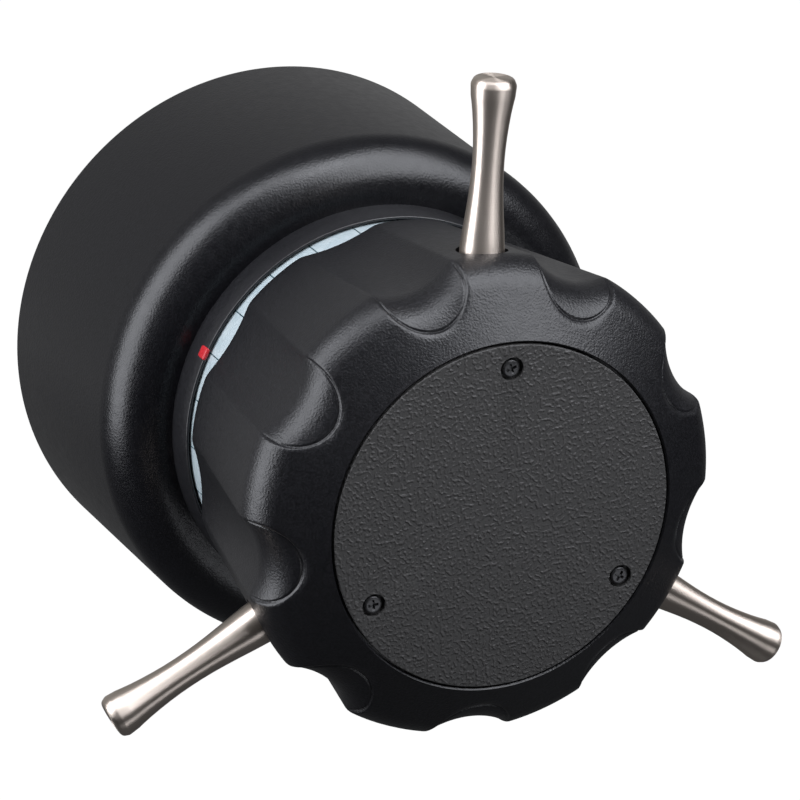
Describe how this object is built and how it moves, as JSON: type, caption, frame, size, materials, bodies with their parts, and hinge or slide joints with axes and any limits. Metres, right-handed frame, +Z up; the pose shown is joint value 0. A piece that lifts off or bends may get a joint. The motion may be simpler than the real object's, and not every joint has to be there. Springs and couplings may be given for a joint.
{
  "type": "focus demand",
  "caption": "Hand control for a lens: a fluted knob with turned steel handles on a drum housing, with an index ring, a pale scale strip and a rear cable socket.",
  "frame": {"origin": "centre of the flat mounting pad on the rear cover, on the knob's axis", "axes": "+Y out of the back along the knob's axis, the knob's face looks along -Y, +Z up, +X to the right as seen from the front"},
  "size_m": [0.149, 0.128, 0.1414],
  "materials": {
    "crinkle_paint": "fine black crinkle paint on cast alloy",
    "grained_disc": "black leather-grain paint",
    "cover_paint": "matt black paint",
    "satin_steel": "satin turned steel",
    "black_screw": "black oxide",
    "bearing_steel": "ground steel",
    "scale_strip": "pale printed film",
    "index_red": "red",
    "machined_alloy": "machined",
    "brass": "cut",
    "circuit_board": "green solder mask",
    "black_plastic": "moulded black"
  },
  "bodies": {
    "housing": {"bearing_tube": "machined_alloy", "board_header": "black_plastic", "board_screw_1": "black_screw", "board_screw_2": "black_screw", "board_screw_3": "black_screw", "bracket_screw_1": "black_screw", "bracket_screw_2": "black_screw", "circuit_board": "circuit_board", "connector_insert": "black_plastic", "connector_screw_1": "black_screw", "connector_screw_2": "black_screw", "connector_shell": "satin_steel", "cover_screw_1": "black_screw", "cover_screw_2": "black_screw", "cover_screw_3": "black_screw", "cover_screw_4": "black_screw", "drum_housing": "crinkle_paint", "encoder_body": "black_plastic", "encoder_bracket": "machined_alloy", "front_bearing_outer": "bearing_steel", "index_mark": "index_red", "index_ring": "crinkle_paint", "processor_chip": "black_plastic", "rear_bearing_outer": "bearing_steel", "rear_cover": "cover_paint", "ring_screw_1": "black_screw", "ring_screw_2": "black_screw", "ring_screw_3": "black_screw", "stop_pin_1": "bearing_steel", "stop_pin_2": "bearing_steel", "tube_screw_1": "black_screw", "tube_screw_2": "black_screw", "tube_screw_3": "black_screw"},
    "knob": {"drive_gear": "brass", "face_disc": "grained_disc", "face_screw_1": "black_screw", "face_screw_2": "black_screw", "face_screw_3": "black_screw", "front_bearing_inner": "bearing_steel", "gear_nut": "bearing_steel", "handle_1": "satin_steel", "handle_2": "satin_steel", "handle_3": "satin_steel", "hub": "machined_alloy", "hub_screw_1": "black_screw", "hub_screw_2": "black_screw", "hub_screw_3": "black_screw", "knob_grip": "crinkle_paint", "rear_bearing_inner": "bearing_steel", "scale_ring": "black_plastic", "scale_strip": "scale_strip", "spindle": "bearing_steel", "spindle_nut": "bearing_steel", "spindle_washer": "bearing_steel"},
    "encoder": {"encoder_shaft": "bearing_steel", "encoder_pinion": "brass"}
  },
  "joints": [
    {"name": "knob_turn", "type": "hinge", "parent": "housing", "child": "knob", "pos_m": [0, -0.06, 0], "axis": [0, 1, 0], "range_deg": [-75, 75]},
    {"name": "encoder_turn", "type": "hinge", "parent": "housing", "child": "encoder", "pos_m": [0, -0.026, 0.024], "axis": [0, 1, 0], "range_deg": [-226, 226]}
  ],
  "couplings": [
    {"joint": "encoder_turn", "follows": "knob_turn", "ratio": -3}
  ]
}
